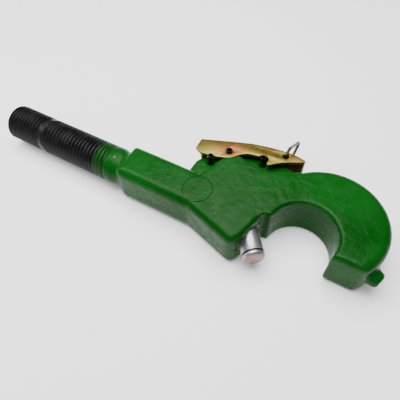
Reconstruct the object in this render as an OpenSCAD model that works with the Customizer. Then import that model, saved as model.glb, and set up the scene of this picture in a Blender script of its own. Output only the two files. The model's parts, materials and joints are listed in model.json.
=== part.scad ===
// Threaded top link end with a ball hook, a sprung lock pin and a pull lever.
// The part lies on its side: X runs along the stud towards the hook, Y towards the
// lever, and Z through the thickness. The origin is the centre of the ball seat.

/* [Hook] */
// Radius of the ball seat, for a 56 mm ball
seat_r = 28.5; // [28.3:0.1:29]
// Thickness of the forging
body_t = 42; // [40:1:44]
// Outer radius of the bow of the hook
bow_r = 53; // [51:1:54]
// Width of the square shank
shank_w = 37; // [36.5:0.5:38]
// Rounding along the long edges
edge_r = 8; // [4:0.5:9]
// Thickness of the fin under the lever
fin_t = 15; // [14:1:16]

/* [Stud] */
// Major diameter of the thread
thread_d = 36; // [36]
// Pitch of the thread
thread_pitch = 4; // [4]
// Depth of the thread on the radius
thread_depth = 2.3; // [2:0.1:2.5]
// Length of the stud from the neck to its end
stud_l = 127; // [119:4:139]

/* [Lock pin] */
// Diameter of the lock pin
lock_d = 20; // [18:1:20]
// Diameter of its stem
stem_d = 13; // [12:0.5:13]
// Angle of the lock pin's bore to the stud, in degrees
lock_angle = 128.5; // [128.5]
// Diameter of the spring's wire
spring_wire = 2; // [1.6:0.2:2.2]
// Running clearance of the lock pin in its bore, on the radius
running = 0.06; // [0.03:0.01:0.09]

/* [Lever] */
// Outer width of the channel
lever_w = 31; // [30:0.5:32]
// Thickness of the sheet
sheet_t = 3; // [2.5:0.5:3]
// Diameter of the fulcrum and stop pins
roll_d = 6; // [5:0.5:6]
// Diameter of the link pin
link_d = 7; // [6:0.5:7]
// Length of the three roll pins
roll_l = 36; // [34:1:38]
// Diameter of the pull ring's wire
ring_wire = 3; // [2.5:0.5:3]

/* [Hidden] */
$fn = 96;

// Half the thickness of the forging
h = body_t / 2;

// The stud's axis lies a little below the seat's centre
stud_y = -3;
shank_x = -176;
neck_x = -194;
shank_low = stud_y - shank_w / 2;
shank_high = stud_y + shank_w / 2;
stud_end = neck_x - stud_l;

// Centre of the bow's outer circle, and the flat end of the hook's tip
bow_c = [12, 21];
tip_y = -10;

// The lock pin's axis, from its lower end up to the link pin
lock_end = [-27, -31];
lock_l = 107;
lock_dir = [cos(lock_angle), sin(lock_angle)];
link_at = lock_end + lock_l * lock_dir;
// Distances below the link pin, along the lock pin's axis
boss_s = 11.4;
bore_s = 26;
shoulder_s = 60;

// Places of the other pins and of the ring's holes
fulcrum_at = [-105.9, 38.4];
stop_at = [-61.2, 59];
ring_at = [-44, 71.7];

// Sizes of the pull ring: its straight legs, its height and the gap of its ends
ring_leg = 9;
ring_h = 36;
ring_z = lever_w / 2 + 0.6 + ring_wire / 2;

// ---------- shared shapes ----------

// Puts a shape drawn along Z onto the stud's axis
module on_stud() translate([0, stud_y, 0]) rotate([0, 90, 0]) children();

// Puts a shape drawn along Z onto the lock pin's axis: 0 is the link pin and
// positive Z runs down to the lower end
module on_lock() translate([link_at[0], link_at[1], 0]) rotate([0, 90, lock_angle + 180]) children();

// Section that a round of radius r takes off an edge: the first direction runs into
// the solid from its side, the second down from its face
round_steps = 5;
function round_off(r) = concat(
    [[-4, -4], [-4, r]],
    [for (i = [0 : round_steps]) let (a = 90 * i / round_steps) [r - r * cos(a), r - r * sin(a)]],
    [[r, -4]]);

// Rounds the edges along the line from p to q on both faces, with the solid on the
// left of the line
module edge_cut(p, q, r) {
    d = q - p;
    for (side = [0, 1]) mirror([0, 0, side])
        translate([p[0], p[1], h]) rotate([0, 0, atan2(d[1], d[0])])
            translate([-2, 0, 0]) rotate([90, 0, 90]) linear_extrude(norm(d) + 4)
                mirror([0, 1]) polygon(round_off(r));
}

// Rounds the upright edge at p, whose solid lies towards the directions sx and sy
module corner_cut(p, sx, sy, r) {
    translate([p[0], p[1], -h - 1]) linear_extrude(body_t + 2)
        mirror([sx > 0 ? 0 : 1, 0]) mirror([0, sy > 0 ? 0 : 1]) polygon(round_off(r));
}

// A hollow spring pin of diameter d and length roll_l, with its slit towards -X
module roll_pin(d) {
    wall = d * 0.2;
    rotate_extrude() polygon([
        [d / 2 - wall, -roll_l / 2], [d / 2 - 0.6, -roll_l / 2], [d / 2, -roll_l / 2 + 1.2],
        [d / 2, roll_l / 2 - 1.2], [d / 2 - 0.6, roll_l / 2], [d / 2 - wall, roll_l / 2]]);
}
module slit(d) translate([-d, -0.4, -roll_l]) cube([d, 0.8, 2 * roll_l]);

// ---------- forging ----------

// The rounded lower corner beside the mouth
lip_c = [-51.05, -27.32];
lip_r = 8;
lip_from = -106.8;

// Outline of the thick body, from the shank's end round to the bow
body_outline = [
    [shank_x, shank_low], [-98, shank_low],
    for (i = [0 : 6]) lip_c + lip_r * [cos(lip_from + 15.4 * i), sin(lip_from + 15.4 * i)],
    [-36, -5], [-20, 0], [0, 40], [-23.6, 59.6],
    [-31, 55], [-40, 48.3], [-48, 43.5], [-56, 42], [-67, 44.8], [-81, 48],
    [-92.5, 38.9], [-96, 32], [-96.5, 24], [-99, 18.5], [-104, shank_high], [shank_x, shank_high]];

// Outline of the thin fin that carries the fulcrum and stop pins
fin_outline = [
    [-120, 0], [-119.5, 34], [-113.5, 45], [-88, 57], [-66, 66.3], [-58, 67.5], [-40, 67], [-26, 64],
    [-8, 62], [-20, 30]];

// What the ball passes through: the mouth between the lock pin's face and the tip
mouth_outline = [
    [-52, -90], [-44, -32], [-37, -5], [-35.8, 0.2], [-33, 2], [-20, 2], [0, 0],
    [20, tip_y], [90, tip_y], [90, -90]];

module hook_plan() difference() {
    union() {
        polygon(body_outline);
        translate(bow_c) circle(r = bow_r);
    }
    circle(r = seat_r);
    polygon(mouth_outline);
}

// Rounds both rims of a round wall of radius wall_r about c, between two angles
module rim_cut(c, wall_r, from, to, r) translate([c[0], c[1], 0])
    for (side = [0, 1]) mirror([0, 0, side]) translate([0, 0, h]) rotate([0, 0, from])
        rotate_extrude(angle = to - from)
            translate([wall_r - 0.1, 0]) mirror([1, 0]) mirror([0, 1]) polygon(round_off(r));

// The round neck between the shank and the thread
module neck() on_stud() rotate_extrude() polygon([
    [0, neck_x], [17.4, neck_x], [18.2, neck_x + 1.2], [18.2, neck_x + 8], [17.5, neck_x + 11],
    [16.4, neck_x + 15], [16.4, shank_x + 4], [0, shank_x + 4]]);

// The stub on the outer side of the tip
module tip_stub() translate([55, 3, 0]) rotate([0, 90, -19]) rotate_extrude()
    polygon([[0, 0], [8.8, 0], [8.3, 6], [7.1, 12.6], [5.6, 14.4], [0, 14.4]]);

// Bore of the lock pin: wide for the pin and spring, narrow for the stem
module lock_bore() on_lock() {
    translate([0, 0, bore_s]) cylinder(d = lock_d + 2 * running, h = lock_l - bore_s + 20);
    translate([0, 0, -30]) cylinder(d = stem_d + 2 * running, h = bore_s + 31);
    // Space cleared in the fin above the boss, for the stem and the lever
    translate([0, 0, -30]) cylinder(d = 26, h = 30 + boss_s);
}

module hook_body() color("forestgreen") difference() {
    union() {
        difference() {
            linear_extrude(body_t, center = true) hook_plan();
            rim_cut(bow_c, bow_r, -36, 135.5, edge_r);
            rim_cut(lip_c, lip_r, -118, -6, 6);
            edge_cut([shank_x, shank_low], [-98, shank_low], edge_r);
            edge_cut([-98, shank_low], [-55, -34.5], edge_r - 1);
            edge_cut([-25, 58.7], [-40, 48.3], 5);
            edge_cut([-104, shank_high], [shank_x, shank_high], edge_r);
            edge_cut([shank_x, shank_high], [shank_x, shank_low], edge_r);
            edge_cut([-44, -32], [-37, -5], edge_r / 2);
            edge_cut([24, tip_y], [60, tip_y], edge_r / 2);
            corner_cut([shank_x, shank_low], 1, 1, edge_r);
            corner_cut([shank_x, shank_high], 1, -1, edge_r);
            // Chamfered rims of the ball seat
            for (side = [0, 1]) mirror([0, 0, side])
                translate([0, 0, h - 2.5]) cylinder(r1 = seat_r - 1, r2 = seat_r + 2.5, h = 3.5);
        }
        linear_extrude(fin_t, center = true) polygon(fin_outline);
        neck();
        tip_stub();
    }
    lock_bore();
    for (at = [fulcrum_at, stop_at])
        translate([at[0], at[1], 0]) cylinder(d = roll_d, h = body_t, center = true);
}

// ---------- stud ----------

// One turn of the thread, as radius and place along the stud from its neck end
function turn(x) = [
    [thread_d / 2 - thread_depth, x], [thread_d / 2, x - 0.35 * thread_pitch],
    [thread_d / 2, x - 0.6 * thread_pitch], [thread_d / 2 - thread_depth, x - 0.92 * thread_pitch]];

// Turns of the thread, and the smooth band turned into it as the limit mark
mark_x = neck_x - 19 * thread_pitch;
mark_w = 2 * thread_pitch;
inner_turns = 19;
outer_turns = floor((mark_x - mark_w - stud_end - 4) / thread_pitch);

module threaded_stud() color([0.08, 0.08, 0.09]) on_stud() rotate_extrude() polygon(concat(
    [[0, neck_x]],
    [for (i = [0 : inner_turns - 1]) each turn(neck_x - i * thread_pitch)],
    [[thread_d / 2 - 1, mark_x - 0.3], [thread_d / 2 - 1, mark_x - mark_w + 0.3]],
    [for (i = [0 : outer_turns - 1]) each turn(mark_x - mark_w - i * thread_pitch)],
    [[thread_d / 2 - thread_depth, stud_end + 2], [thread_d / 2 - thread_depth - 1.5, stud_end],
     [0, stud_end]]));

// ---------- lock pin and spring ----------

module lock_pin() color("gainsboro") difference() {
    on_lock() rotate_extrude() polygon([
        [0, -6.5], [stem_d / 2 - 2, -6.5], [stem_d / 2, -4.5], [stem_d / 2, shoulder_s],
        [lock_d / 2 - 1, shoulder_s], [lock_d / 2, shoulder_s + 1],
        [lock_d / 2, lock_l - 4.4], [lock_d / 2 - 0.9, lock_l - 3.9], [lock_d / 2 - 0.9, lock_l - 3.1],
        [lock_d / 2 - 0.05, lock_l - 2.4], [lock_d / 2 - 0.05, lock_l - 1.5], [lock_d / 2 - 1.5, lock_l],
        [0, lock_l]]);
    translate([link_at[0], link_at[1], 0]) cylinder(d = link_d, h = body_t, center = true);
}

// A point on the spring's helix, t turns from its top
spring_r = lock_d / 2 - spring_wire / 2 - 0.3;
spring_turns = 7;
spring_steps = 20;
spring_gap = 0.3;
function helix(t) = [
    spring_r * cos(360 * t), spring_r * sin(360 * t),
    bore_s + spring_gap + spring_wire / 2
        + t / spring_turns * (shoulder_s - bore_s - 2 * spring_gap - spring_wire)];

// Ring of the wire's section at the point t
section_sides = 8;
function wire_ring(t) = [for (k = [0 : section_sides - 1])
    let (p = helix(t), a = 360 * k / section_sides, w = spring_wire / 2 * cos(a))
    [p[0] + w * cos(360 * t), p[1] + w * sin(360 * t), p[2] + spring_wire / 2 * sin(a)]];

module lock_spring() color("silver") on_lock() {
    n = spring_turns * spring_steps;
    s = section_sides;
    points = [for (i = [0 : n]) each wire_ring(i / spring_steps)];
    sides = [for (i = [0 : n - 1], k = [0 : s - 1])
        each [[i * s + k, i * s + (k + 1) % s, (i + 1) * s + (k + 1) % s],
              [i * s + k, (i + 1) * s + (k + 1) % s, (i + 1) * s + k]]];
    ends = [[for (k = [s - 1 : -1 : 0]) k], [for (k = [0 : s - 1]) n * s + k]];
    polyhedron(points, concat(sides, ends));
}

// ---------- lever, pins and ring ----------

// Top edge of the lever's cheeks from the left end to the right, then the way back
// along their lower edge
lever_top = [
    [-125, 54.6], [-103.4, 62.9], [-81.2, 71.1], [-70, 73.8], [-59, 75.9], [-46, 77.3], [-35, 77],
    [-25.5, 75]];
lever_low = [
    [-27.8, 72], [-38.8, 66.4], [-47.4, 60.7], [-53.4, 55.2], [-55.6, 54.2], [-55.6, 59], [-60, 62],
    [-65, 60.2], [-72, 59.6], [-78.5, 57.2], [-84.3, 52], [-89, 46.6], [-92.5, 44.6], [-98, 42.4],
    [-104, 40.8], [-115, 38.9], [-124.4, 42.1]];

module pull_lever() color([0.72, 0.62, 0.3]) difference() {
    linear_extrude(lever_w, center = true) difference() {
        polygon(concat(lever_top, lever_low));
        translate(fulcrum_at) circle(d = roll_d + 1);
        translate(stop_at) circle(d = roll_d + 4);
    }
    linear_extrude(lever_w - 2 * sheet_t, center = true) polygon([
        [-130, 50], for (p = lever_top) p + [0, -sheet_t], [-20, 69], [-20, 20], [-130, 20]]);
    translate([link_at[0], link_at[1], 0])
        cylinder(d = link_d + 2 * running, h = body_t, center = true);
    translate([ring_at[0], ring_at[1], 0]) cylinder(d = 6.5, h = body_t, center = true);
}

module link_pin() color([0.1, 0.1, 0.1]) translate([link_at[0], link_at[1], 0]) difference() {
    roll_pin(link_d);
    slit(link_d);
}

module fulcrum_pin() color([0.1, 0.1, 0.1]) translate([fulcrum_at[0], fulcrum_at[1], 0]) difference() {
    roll_pin(roll_d);
    slit(roll_d);
}

module stop_pin() color([0.1, 0.1, 0.1]) translate([stop_at[0], stop_at[1], 0]) difference() {
    roll_pin(roll_d);
    slit(roll_d);
}

// A straight length of the ring's wire with rounded ends
module wire(p, q) hull()
    for (end = [p, q]) translate(end) sphere(d = ring_wire, $fn = 20);

module pull_ring() color([0.3, 0.26, 0.22]) translate([ring_at[0], ring_at[1], 0])
    for (side = [-1, 1]) {
        wire([0, 0, side * 10.5], [0, 0, side * ring_z]);
        wire([0, 0, side * ring_z], [0, ring_leg, side * ring_z]);
        wire([0, ring_leg, side * ring_z], [1.5, ring_h - 2.5, side * 3.2]);
        wire([1.5, ring_h - 2.5, side * 3.2], [1.6, ring_h, 0]);
    }

hook_body();
threaded_stud();
lock_pin();
lock_spring();
pull_lever();
link_pin();
fulcrum_pin();
stop_pin();
pull_ring();
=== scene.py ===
"""Threaded top link end with a ball hook, lock pin and pull lever, lying on a pale floor."""

import json
import math

import bmesh
import bpy
from mathutils import Matrix, Vector


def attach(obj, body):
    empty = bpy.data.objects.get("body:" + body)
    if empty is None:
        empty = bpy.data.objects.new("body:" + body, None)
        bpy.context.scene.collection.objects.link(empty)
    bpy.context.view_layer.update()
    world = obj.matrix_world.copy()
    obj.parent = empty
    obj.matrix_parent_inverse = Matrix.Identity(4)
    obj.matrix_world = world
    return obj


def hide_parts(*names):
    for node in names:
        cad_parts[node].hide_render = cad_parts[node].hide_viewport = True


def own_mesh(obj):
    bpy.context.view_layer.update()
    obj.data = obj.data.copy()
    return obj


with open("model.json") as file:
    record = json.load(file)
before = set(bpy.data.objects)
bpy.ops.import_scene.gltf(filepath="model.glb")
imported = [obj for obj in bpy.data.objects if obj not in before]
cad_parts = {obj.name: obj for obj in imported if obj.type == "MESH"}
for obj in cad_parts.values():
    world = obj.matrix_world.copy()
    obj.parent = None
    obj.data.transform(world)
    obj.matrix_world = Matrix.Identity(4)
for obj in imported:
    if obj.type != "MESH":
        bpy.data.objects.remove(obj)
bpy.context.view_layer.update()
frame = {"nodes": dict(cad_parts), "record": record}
NODES = frame["nodes"]
MM = 0.001

# The lock pin's axis: the link pin's centre, and the way down to the lower end
LINK = Vector((-0.093609, 0.052739, 0))
DOWN = Vector((0.622515, -0.782608, 0))
FULCRUM = Vector((-0.1059, 0.0384, 0))
STOP = Vector((-0.0612, 0.059, 0))
RING = Vector((-0.044, 0.0717, 0))
STUD_Y, NECK_X, STUD_END = -3.0, -194.0, -321.0
# Height of the floor under the forging's flat back, and its half width, in millimetres
FLOOR_Z, FLOOR_HALF = -21.2, 9000


# ---------- shapes ----------


def made(name, verts, faces, smooth=60):
    """A new object from points in millimetres, shaded smooth below that angle in degrees."""
    me = bpy.data.meshes.new(name)
    me.from_pydata([Vector(v) * MM for v in verts], [], faces)
    me.validate()
    ob = bpy.data.objects.new(name, me)
    bpy.context.scene.collection.objects.link(ob)
    clean(ob)
    shade(ob, smooth)
    return ob


def clean(ob):
    """Joins doubled points and turns every face outwards."""
    bm = bmesh.new()
    bm.from_mesh(ob.data)
    bmesh.ops.remove_doubles(bm, verts=bm.verts, dist=1e-6)
    bmesh.ops.dissolve_degenerate(bm, edges=bm.edges, dist=1e-7)
    bmesh.ops.recalc_face_normals(bm, faces=bm.faces)
    bm.to_mesh(ob.data)
    bm.free()


def shade(ob, angle):
    """Smooth shading with sharp edges above that angle."""
    bm = bmesh.new()
    bm.from_mesh(ob.data)
    for f in bm.faces:
        f.smooth = True
    for e in bm.edges:
        e.smooth = len(e.link_faces) == 2 and e.calc_face_angle(0) < math.radians(angle)
    bm.to_mesh(ob.data)
    bm.free()


def baked(ob):
    """Makes the modifiers part of the mesh."""
    dg = bpy.context.evaluated_depsgraph_get()
    me = bpy.data.meshes.new_from_object(ob.evaluated_get(dg))
    ob.modifiers.clear()
    ob.data = me
    return ob


def cut(ob, *tools):
    """Takes the tools' shapes out of ob and removes the tools."""
    for t in tools:
        m = ob.modifiers.new("cut", "BOOLEAN")
        m.operation, m.solver, m.object = "DIFFERENCE", "EXACT", t
        baked(ob)
        bpy.data.objects.remove(t)
    return ob


def bevel(ob, width, steps=3, angle=30):
    m = ob.modifiers.new("bevel", "BEVEL")
    m.width, m.segments, m.limit_method = width * MM, steps, "ANGLE"
    m.angle_limit = math.radians(angle)
    m.harden_normals = False
    baked(ob)
    shade(ob, 50)
    return ob


def lathe(name, profile, steps=96, place=None, smooth=40):
    """Turns a closed or open profile of (radius, height) about Z."""
    verts, faces, n = [], [], len(profile)
    for k in range(steps):
        a = math.tau * k / steps
        verts += [(r * math.cos(a), r * math.sin(a), z) for r, z in profile]
    for k in range(steps):
        a, b = k * n, (k + 1) % steps * n
        for i in range(n - 1):
            faces.append((a + i, b + i, b + i + 1, a + i + 1))
    ob = made(name, verts, faces, smooth)
    if place is not None:
        ob.data.transform(place)
    return ob


def drill(name, r, place, steps=48):
    """A cutter of radius r that goes right through the part along Z."""
    return lathe(name, [(0, -30), (r, -30), (r, 30), (0, 30)], steps, at(place))


def on_lock():
    """Z of a turned shape runs down the lock pin's axis from the link pin."""
    z, y = DOWN, Vector((0, 0, 1))
    x = y.cross(z)
    m = Matrix((x, y, z)).transposed().to_4x4()
    m.translation = LINK
    return m


def at(p):
    return Matrix.Translation(p)


def prism(name, outline, half):
    """An outline in millimetres drawn out to both sides of the middle plane."""
    n = len(outline)
    verts = [(x, y, z) for z in (-half, half) for x, y in outline]
    faces = [tuple(range(n))[::-1], tuple(range(n, 2 * n))]
    faces += [(i, (i + 1) % n, n + (i + 1) % n, n + i) for i in range(n)]
    return made(name, verts, faces, 30)


def curve_through(points, steps=6):
    """Smooth line through the points, its ends included."""
    out = []
    p = [points[0]] + list(points) + [points[-1]]
    for i in range(1, len(p) - 2):
        a, b, c, d = (Vector(q) for q in p[i - 1 : i + 3])
        for k in range(steps):
            t = k / steps
            v = 0.5 * (
                2 * b + (c - a) * t + (2 * a - 5 * b + 4 * c - d) * t**2 + (3 * b - a - 3 * c + d) * t**3
            )
            out.append(tuple(v))
    return out + [tuple(points[-1])]


def tube(name, path, r, sides=16, place=None):
    """A wire of radius r along a path in millimetres, with closed, slightly rounded ends."""
    pts = [Vector(p) for p in path]
    way = [(pts[min(i + 1, len(pts) - 1)] - pts[max(i - 1, 0)]).normalized() for i in range(len(pts))]
    pts = [pts[0] - way[0] * 0.3] + pts + [pts[-1] + way[-1] * 0.3]
    way = [way[0]] + way + [way[-1]]
    side = way[0].orthogonal().normalized()
    verts, faces = [], []
    for i, (p, w) in enumerate(zip(pts, way)):
        side = (side - w * side.dot(w)).normalized()
        up = w.cross(side)
        k = 0.75 if i in (0, len(pts) - 1) else 1.0
        for s in range(sides):
            a = math.tau * s / sides
            verts.append(p + (side * math.cos(a) + up * math.sin(a)) * r * k)
    for i in range(len(pts) - 1):
        for s in range(sides):
            t = (s + 1) % sides
            faces.append((i * sides + s, i * sides + t, (i + 1) * sides + t, (i + 1) * sides + s))
    faces += [tuple(range(sides))[::-1], tuple(range(len(verts) - sides, len(verts)))]
    ob = made(name, verts, faces, 50)
    if place is not None:
        ob.data.transform(place)
    return ob


# ---------- materials ----------


class Shader:
    """A principled shader and short ways to feed it."""

    def __init__(self, name):
        self.m = bpy.data.materials.new(name)
        self.m.use_nodes = True
        self.t = self.m.node_tree
        self.p = self.t.nodes["Principled BSDF"]
        self.co = self.new("ShaderNodeTexCoord").outputs["Object"]

    def new(self, kind, **values):
        n = self.t.nodes.new(kind)
        for k, v in values.items():
            if hasattr(n, k):
                setattr(n, k, v)
        return n

    def link(self, a, b):
        if hasattr(a, "is_output"):
            self.t.links.new(a, b)
        else:
            b.default_value = a
        return b

    def noise(self, scale, detail=3.0, rough=0.5, squash=(1, 1, 1)):
        m = self.new("ShaderNodeMapping")
        self.link(self.co, m.inputs["Vector"])
        m.inputs["Scale"].default_value = squash
        n = self.new("ShaderNodeTexNoise")
        self.link(m.outputs[0], n.inputs["Vector"])
        n.inputs["Scale"].default_value = scale
        n.inputs["Detail"].default_value = detail
        n.inputs["Roughness"].default_value = rough
        return n.outputs["Fac"]

    def band(self, x, lo, hi, a=0.0, b=1.0):
        """a below lo and b above hi, smooth between."""
        n = self.new("ShaderNodeMapRange", interpolation_type="SMOOTHSTEP")
        self.link(x, n.inputs["Value"])
        for k, v in zip(("From Min", "From Max", "To Min", "To Max"), (lo, hi, a, b)):
            n.inputs[k].default_value = v
        return n.outputs[0]

    def math(self, op, a, b=0.0):
        n = self.new("ShaderNodeMath", operation=op)
        self.link(a, n.inputs[0])
        self.link(b, n.inputs[1])
        return n.outputs[0]

    def mix(self, fac, a, b):
        n = self.new("ShaderNodeMix", data_type="RGBA")
        self.link(fac, n.inputs[0])
        for v, s in ((a, n.inputs[6]), (b, n.inputs[7])):
            self.link((*v, 1.0) if isinstance(v, tuple) else v, s)
        return n.outputs[2]

    def axis(self, which):
        n = self.new("ShaderNodeSeparateXYZ")
        self.link(self.co, n.inputs[0])
        return n.outputs[which]

    def bump(self, *layers):
        """Layers of (height, strength, distance in metres)."""
        last = None
        for h, strength, dist in layers:
            n = self.new("ShaderNodeBump")
            self.link(h, n.inputs["Height"])
            n.inputs["Strength"].default_value = strength
            n.inputs["Distance"].default_value = dist
            if last is not None:
                self.link(last, n.inputs["Normal"])
            last = n.outputs[0]
        self.link(last, self.p.inputs["Normal"])

    def lock_axis(self):
        """Distance from the lock pin's axis, and how far down it, in metres."""
        v = self.new("ShaderNodeVectorMath", operation="SUBTRACT")
        self.link(self.co, v.inputs[0])
        v.inputs[1].default_value = LINK
        c = self.new("ShaderNodeVectorMath", operation="CROSS_PRODUCT")
        self.link(v.outputs[0], c.inputs[0])
        c.inputs[1].default_value = DOWN
        far = self.new("ShaderNodeVectorMath", operation="LENGTH")
        self.link(c.outputs[0], far.inputs[0])
        along = self.new("ShaderNodeVectorMath", operation="DOT_PRODUCT")
        self.link(v.outputs[0], along.inputs[0])
        along.inputs[1].default_value = DOWN
        return far.outputs["Value"], along.outputs["Value"]

    def set(self, **values):
        for k, v in values.items():
            name = k.replace("_", " ")
            self.link((*v, 1.0) if isinstance(v, tuple) else v, self.p.inputs[name])


GREEN = (0.0006, 0.04, 0.001)
GREEN_DARK = (0.0002, 0.014, 0.0003)


def green_paint():
    """Enamel over a scaly forging, worn to bare metal round the lock pin's mouth."""
    s = Shader("green_paint")
    tone = s.mix(s.band(s.noise(16, 3), 0.35, 0.7), GREEN, (0.002, 0.06, 0.004))
    tone = s.mix(s.band(s.noise(220, 5, 0.65), 0.6, 0.78, 0, 0.45), tone, GREEN_DARK)
    far, along = s.lock_axis()
    dist = s.math("ADD", far, s.math("MULTIPLY", s.noise(300, 3), 0.0012))
    bare = s.math("MULTIPLY", s.band(dist, 0.0113, 0.0119, 1, 0), s.band(along, 0.02, 0.03))
    chips = s.band(s.noise(420, 2), 0.79, 0.81)
    worn = s.math("MAXIMUM", bare, chips)
    s.set(
        Base_Color=s.mix(worn, tone, (0.42, 0.4, 0.37)),
        Metallic=s.math("MULTIPLY", worn, 0.9),
        Roughness=s.band(s.noise(90, 4), 0.3, 0.7, 0.2, 0.36),
        Specular_IOR_Level=0.07,
    )
    pits = s.band(s.noise(330, 2), 0.68, 0.8, 1, 0)
    s.bump(
        (s.noise(38, 3), 0.35, 0.0012),
        (s.noise(150, 4, 0.6), 0.6, 0.0008),
        (pits, 0.5, 0.0003),
        (s.noise(900, 2), 0.12, 0.0002),
    )
    return s.m


def black_steel():
    """Oiled black thread, with green overspray on its first turns."""
    s = Shader("black_steel")
    tone = s.mix(s.band(s.noise(70, 4), 0.4, 0.7), (0.002, 0.002, 0.0022), (0.008, 0.008, 0.009))
    near = s.math("ADD", s.axis(0), s.math("MULTIPLY", s.noise(180, 3), 0.008))
    spray = s.band(near, -0.2035, -0.2005)
    s.set(
        Base_Color=s.mix(spray, tone, GREEN),
        Metallic=s.band(spray, 0, 1, 0.12, 0),
        Specular_IOR_Level=0.2,
        Roughness=s.band(s.noise(140, 4), 0.3, 0.7, 0.3, 0.46),
    )
    s.bump((s.noise(500, 3), 0.2, 0.0002))
    return s.m


def bright_zinc():
    """Clear zinc on a turned pin, browner at its end face, with painted shade darkening the narrow ring
    turned near its end.
    """
    s = Shader("bright_zinc")
    along = s.lock_axis()[1]
    base = s.mix(s.band(s.noise(34, 4, 0.6), 0.35, 0.65), (0.3, 0.31, 0.31), (0.42, 0.42, 0.4))
    base = s.mix(s.band(s.noise(60, 3), 0.5, 0.7, 0, 0.5), base, (0.22, 0.26, 0.2))
    base = s.mix(s.band(along, 0.1058, 0.1068), base, (0.22, 0.15, 0.125))
    # Painted shade: the narrow ring turned near the pin's end is coloured near-black, as if shade sat in
    # it.
    groove_painted_shade = s.math("MULTIPLY", s.band(along, 0.1018, 0.1022), s.band(along, 0.103, 0.1034, 1, 0))
    s.set(
        Base_Color=s.mix(groove_painted_shade, base, (0.02, 0.018, 0.012)),
        Metallic=0.9,
        Roughness=s.band(s.noise(200, 5), 0.25, 0.75, 0.26, 0.42),
    )
    s.bump((s.noise(700, 3), 0.05, 0.0001), (s.noise(90, 4, 0.6, (1, 1, 8)), 0.04, 0.00006))
    return s.m


def plated(name, tones, rough, lines=None):
    """Plated steel: the tone drifts between two colours, with fine scuffs and draw lines."""
    s = Shader(name)
    base = s.mix(s.band(s.noise(34, 4, 0.6), 0.35, 0.65), tones[0], tones[1])
    s.set(
        Base_Color=base,
        Metallic=0.95,
        Roughness=s.band(s.noise(200, 5), 0.25, 0.75, rough - 0.07, rough + 0.1),
    )
    layers = [(s.noise(700, 3), 0.1, 0.0001)]
    if lines:
        layers.append((s.noise(90, 4, 0.6, lines), 0.1, 0.00006))
    s.bump(*layers)
    return s.m


def yellow_zinc():
    """Yellow passivated sheet: gold that drifts to olive, with rose patches."""
    s = Shader("yellow_zinc")
    base = s.mix(s.band(s.noise(30, 3, 0.6), 0.35, 0.65), (0.16, 0.1, 0.016), (0.21, 0.15, 0.035))
    base = s.mix(s.band(s.noise(46, 3, 0.6, (0.6, 1, 1)), 0.48, 0.66, 0, 0.75), base, (0.07, 0.11, 0.014))
    # The rose bloom gathers round the link pin
    v = s.new("ShaderNodeVectorMath", operation="DISTANCE")
    s.link(s.co, v.inputs[0])
    v.inputs[1].default_value = LINK + Vector((0.003, 0.004, 0.0155))
    bloom = s.math("ADD", v.outputs["Value"], s.math("MULTIPLY", s.noise(110, 3), 0.012))
    base = s.mix(s.band(bloom, 0.006, 0.024, 0.8, 0), base, (0.24, 0.05, 0.02))
    patches = s.band(s.noise(38, 2), 0.6, 0.75, 0, 0.4)
    base = s.mix(patches, base, (0.2, 0.075, 0.05))
    s.set(
        Base_Color=base,
        Metallic=0.9,
        Roughness=s.band(s.noise(200, 5), 0.25, 0.75, 0.28, 0.44),
    )
    s.bump((s.noise(700, 3), 0.06, 0.0001), (s.noise(60, 3, 0.6), 0.08, 0.0002))
    return s.m


MATS = {
    "green_paint": green_paint(),
    "black_steel": black_steel(),
    "bright_zinc": bright_zinc(),
    "spring_steel": plated("spring_steel", ((0.28, 0.28, 0.3), (0.4, 0.4, 0.4)), 0.32, (1, 1, 6)),
    "yellow_zinc": yellow_zinc(),
    "pin_steel": plated("pin_steel", ((0.035, 0.035, 0.038), (0.08, 0.078, 0.075)), 0.26),
    "wire_steel": plated("wire_steel", ((0.03, 0.019, 0.013), (0.08, 0.055, 0.04)), 0.38, (1, 6, 1)),
}


def finish_piece(ob, material, body, node):
    """Gives a piece its material and its body, and hides the CAD node that it stands for."""
    ob.data.materials.clear()
    ob.data.materials.append(MATS[material])
    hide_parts(node)
    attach(ob, body)
    return ob


# ---------- forging ----------


def hook_body():
    """The CAD shape, run over as a forging: soft fillets everywhere, then its cut bores."""
    ob = bpy.data.objects.new("hook_forging", NODES["hook_body"].data.copy())
    bpy.context.scene.collection.objects.link(ob)
    clean(ob)
    # The tip's outer corner is rounded off, from its flat end into the bow
    arc = [
        (50.1 + 9 * math.cos(math.radians(a)), -1 + 9 * math.sin(math.radians(a)))
        for a in range(-90, -29, 6)
    ]
    cut(ob, prism("tip_corner", arc + [(60, -9), (64, -12), (64, -20), (50.1, -20)], 30))
    m = ob.modifiers.new("grid", "REMESH")
    m.mode, m.voxel_size = "VOXEL", 0.0009
    m = ob.modifiers.new("soft", "SMOOTH")
    m.factor, m.iterations = 0.5, 20
    baked(ob)
    lock = on_lock()
    cut(
        ob,
        lathe("bore", [(0, 25), (10.15, 25), (10.15, 130), (0, 130)], 96, lock),
        lathe("stem_hole", [(0, -20), (6.6, -20), (6.6, 26), (0, 26)], 64, lock),
        lathe("spot_face", [(0, -20), (12.8, -20), (12.8, 10.4), (11.8, 11.4), (0, 11.4)], 96, lock),
        drill("hole_a", 3.05, FULCRUM),
        drill("hole_b", 3.05, STOP),
    )
    # The shallow struck circle on the shank's upper face
    ring = [(12.5, 21.6), (13, 20.8), (13.3, 20.6), (13.6, 20.8), (14.1, 21.6), (12.5, 21.6)]
    cut(ob, lathe("struck", ring, 96, at(Vector((-0.096, -0.004, 0)))))
    shade(ob, 42)
    return finish_piece(ob, "green_paint", "hook", "hook_body")


# ---------- stud ----------

PITCH = 4.0
MARK = (NECK_X - 84.0, NECK_X - 78.0)
# One turn of the thread: place along the pitch, and radius
TURN = [(0, 15.55), (0.1, 15.7), (0.41, 17.75), (0.46, 17.95), (0.54, 17.95), (0.59, 17.75), (0.9, 15.7)]


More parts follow.
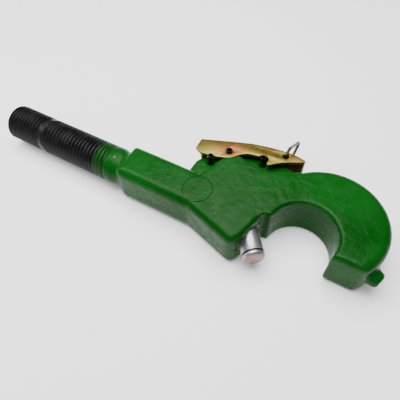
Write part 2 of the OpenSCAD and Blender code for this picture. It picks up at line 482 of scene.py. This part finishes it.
def top_radius(x):
    """The largest radius at x: the end chamfer and the turned mark band, capped at 18 mm."""
    r = 15.0 + (x - STUD_END)
    band = abs(x - sum(MARK) / 2) - (MARK[1] - MARK[0]) / 2
    if band < 1.0:
        r = min(r, 17.0 + max(band, 0) * 2)
    return min(r, 18.0)


def low_radius(x):
    """The smallest radius at x: the band is filled to a smooth land."""
    band = abs(x - sum(MARK) / 2) - (MARK[1] - MARK[0]) / 2
    return 17.0 - max(band, 0) * 6 if band < 0.4 else 0


def threaded_stud():
    """A true helix, flat at both ends."""
    around, n = 96, len(TURN)
    turns = int((NECK_X + 0.5 - STUD_END) / PITCH) + 3
    verts, faces = [], []
    for j in range(around):
        a = math.tau * j / around
        for k in range(turns * n):
            t, r = TURN[k % n]
            x = STUD_END - 2 * PITCH + (k // n + t + j / around) * PITCH
            x = min(max(x, STUD_END), NECK_X + 0.5)
            r = max(min(r, top_radius(x)), low_radius(x))
            verts.append((x, STUD_Y + r * math.cos(a), r * math.sin(a)))
    rows = turns * n
    for j in range(around):
        for k in range(rows - 1):
            a, b = j * rows + k, (j + 1) % around * rows + k
            if j == around - 1:
                a, b = j * rows + k, k + n
                if k + n + 1 >= rows:
                    continue
            faces.append((a, a + 1, b + 1, b))
    ob = made("threaded_stud_helix", verts, faces, 50)
    bm = bmesh.new()
    bm.from_mesh(ob.data)
    loose = [e for e in bm.edges if len(e.link_faces) == 1]
    bmesh.ops.holes_fill(bm, edges=loose, sides=0)
    bmesh.ops.recalc_face_normals(bm, faces=bm.faces)
    bm.to_mesh(ob.data)
    bm.free()
    shade(ob, 50)
    return finish_piece(ob, "black_steel", "hook", "threaded_stud")


# ---------- lock pin, spring and pins ----------


def lock_pin():
    end = 107.0
    ob = lathe(
        "lock_plunger",
        [(0, -6.4), (4.4, -6.4), (5.6, -5.9), (6.3, -4.8), (6.45, -4), (6.45, 59.6), (6.6, 60), (9, 60),
         (9.7, 60.4), (9.95, 61.2), (9.95, end - 5.2), (9.8, end - 5), (8.9, end - 4.8), (8.9, end - 3.9),
         (9.8, end - 3.7), (9.9, end - 3.5), (9.9, end - 1.7), (9.75, end - 1.4), (8.75, end - 0.25),
         (8.4, end), (0, end)],
        128,
        on_lock(),
    )
    cut(ob, drill("eye", 3.52, LINK))
    shade(ob, 40)
    return finish_piece(ob, "bright_zinc", "lock", "lock_pin")


def lock_spring():
    turns, r, lo, hi = 7, 8.7, 27.4, 58.6
    path = []
    for i in range(turns * 28 + 1):
        t = i / (turns * 28)
        # The pitch varies a little: wider at the end turns, closer between
        u = t + 0.045 * math.sin(math.tau * t)
        a = math.tau * turns * t
        path.append((r * math.cos(a), r * math.sin(a), lo + (hi - lo) * min(max(u, 0), 1)))
    ob = tube("lock_spring_coil", path, 0.95, 14, on_lock())
    finish_piece(ob, "spring_steel", "hook", "lock_spring")
    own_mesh(ob)
    return ob


def roll_pin(name, d, place, body, node):
    """Hollow spring pin with rolled rims and a slit."""
    r, w, e = d / 2, d / 2 - d * 0.2, 17.9
    side = [(w, -e + 0.5), (w + 0.3, -e + 0.05), (r - 0.8, -e), (r - 0.35, -e + 0.4), (r - 0.05, -e + 1.4)]
    profile = side + [(q, -z) for q, z in side[::-1]] + [side[0]]
    ob = lathe(name, profile, 64, at(place), 50)
    slit = prism("slit", [(-r - 1, -0.35), (-r * 0.5, -0.35), (-r * 0.5, 0.35), (-r - 1, 0.35)], 20)
    slit.data.transform(at(place) @ Matrix.Rotation(math.radians(115), 4, "Z"))
    cut(ob, slit)
    shade(ob, 40)
    return finish_piece(ob, "pin_steel", body, node)


# ---------- lever and ring ----------

# The lever's top edge, and the stretches of its lower edge between the notches for the two pins
LEVER_TOP = [
    (-124.7, 54.4), (-103.4, 62.7), (-81.2, 70.9), (-70, 73.7),
    (-59, 75.8), (-46, 77.1), (-35, 76.9), (-25.7, 75),
]
LEVER_LOW = [
    [(-25.7, 74.8), (-27.8, 72.1), (-38.8, 66.4), (-47.4, 60.7), (-53.2, 55.4), (-54.6, 54.4)],
    [(-55.5, 54.8), (-56.4, 57.6)],
    [(-66, 60.2), (-72, 59.4), (-78.5, 57.2), (-84.3, 52),
     (-89, 46.8), (-92.5, 44.6), (-98, 42.5), (-102.7, 41.1)],
    [(-109.3, 39.9), (-115, 39.1), (-119, 39.6), (-124.3, 42.3)],
]


def scoop(c, r, a0, a1, steps=14):
    """Points of a notch's arc, with angles in degrees."""
    return [
        (c.x / MM + r * math.cos(math.radians(a0 + (a1 - a0) * i / steps)),
         c.y / MM + r * math.sin(math.radians(a0 + (a1 - a0) * i / steps)))
        for i in range(steps + 1)
    ]


def pull_lever():
    """Pressed channel: two cheeks and a web along the top, with all its edges rounded."""
    outer = curve_through(LEVER_TOP)
    low = curve_through(LEVER_LOW[0]) + LEVER_LOW[1] + scoop(STOP, 5, -18, 165)
    low += curve_through(LEVER_LOW[2]) + scoop(FULCRUM, 3.6, 45, 160) + curve_through(LEVER_LOW[3])
    ob = prism("lever_channel", outer + low, 15.45)
    inner = [(x, y - 3) for x, y in outer]
    room = prism("room", [(-135, 48.5)] + inner + [(-20, 71.5), (-20, 20), (-135, 20)], 12.5)
    cut(
        ob,
        room,
        drill("link_hole", 3.58, LINK, 64),
        drill("ring_hole", 3.2, RING, 64),
    )
    clean(ob)
    bevel(ob, 0.75, 3, 35)
    return finish_piece(ob, "yellow_zinc", "lever", "pull_lever")


def pull_ring():
    """One wire bent to a narrow bail, its ends turned in through the lever's cheeks."""
    z = 17.6
    half = [(0, 0, 10.6), (0, 0, 16.4), (0, 0.35, 17.2), (0, 1.2, z), (0, 8.4, z), (0.05, 9.6, 17.3),
            (0.15, 10.8, 16.7), (1.3, 31.6, 4.6), (1.45, 33.6, 3.1), (1.55, 35, 1.7), (1.6, 35.6, 0.6)]
    path = half + [(x, y, -k) for x, y, k in half[::-1]]
    ob = tube("ring_bail", curve_through(path, 4), 1.48, 16, at(RING))
    return finish_piece(ob, "wire_steel", "ring", "pull_ring")


hook_body()
threaded_stud()
lock_pin()
lock_spring()
roll_pin("link_roll_pin", 7, LINK, "lock", "link_pin")
roll_pin("fulcrum_roll_pin", 6, FULCRUM, "hook", "fulcrum_pin")
roll_pin("stop_roll_pin", 6, STOP, "hook", "stop_pin")
pull_lever()
pull_ring()
for name, node in NODES.items():
    slot_name = next(s["material_slot"] for s in frame["record"]["subparts"] if s["node"] == name)
    node.data.materials.clear()
    node.data.materials.append(MATS[slot_name])

# ---------- floor, light and camera ----------


def floor():
    """A pale floor that reaches past every view."""
    corners = [(-1, -1), (1, -1), (1, 1), (-1, 1)]
    ob = made("floor", [(x * FLOOR_HALF, y * FLOOR_HALF, FLOOR_Z) for x, y in corners], [(0, 1, 2, 3)])
    s = Shader("floor_paper")
    s.set(Base_Color=(0.95, 0.95, 0.95), Roughness=0.8, Specular_IOR_Level=0.1,
          Emission_Color=(1, 1, 1), Emission_Strength=0.12)
    ob.data.materials.append(s.m)


def area(name, place, aim, size, power):
    """A soft box of that size and power, turned to face aim."""
    light = bpy.data.lights.new(name, "AREA")
    light.shape, light.size, light.size_y, light.energy = "RECTANGLE", size[0], size[1], power
    ob = bpy.data.objects.new(name, light)
    bpy.context.scene.collection.objects.link(ob)
    ob.location = place
    ob.rotation_euler = (Vector(aim) - Vector(place)).to_track_quat("-Z", "Y").to_euler()


floor()
area("top_box", (-0.25, 0.1, 1.0), (-0.08, 0, 0), (1.0, 0.9), 30)
area("left_strip", (-0.9, -0.15, 0.45), (-0.08, 0, 0), (0.3, 1.0), 4)
area("front_fill", (0.35, -0.9, 0.35), (-0.05, 0, 0), (0.9, 0.5), 1)

world = bpy.data.worlds.new("studio")
bpy.context.scene.world = world
world.use_nodes = True
back = world.node_tree.nodes["Background"]
back.inputs["Color"].default_value = (1, 1, 1, 1)
back.inputs["Strength"].default_value = 0.3

cam = bpy.data.cameras.new("camera")
cam.lens, cam.sensor_width, cam.clip_start, cam.clip_end = 34.83, 36.0, 0.01, 20
cam_ob = bpy.data.objects.new("camera", cam)
bpy.context.scene.collection.objects.link(cam_ob)
# The photograph's viewing angle
right = Vector((0.8688, 0.4943, -0.0295)).normalized()
ahead = Vector((-0.3046, 0.4865, -0.8189)).normalized()
up = right.cross(ahead).normalized()
right = ahead.cross(up).normalized()
turn = Matrix((right, up, -ahead)).transposed().to_4x4()
turn.translation = Vector((0.0123, -0.1733, 0.2908))
cam_ob.matrix_world = turn
bpy.context.scene.camera = cam_ob
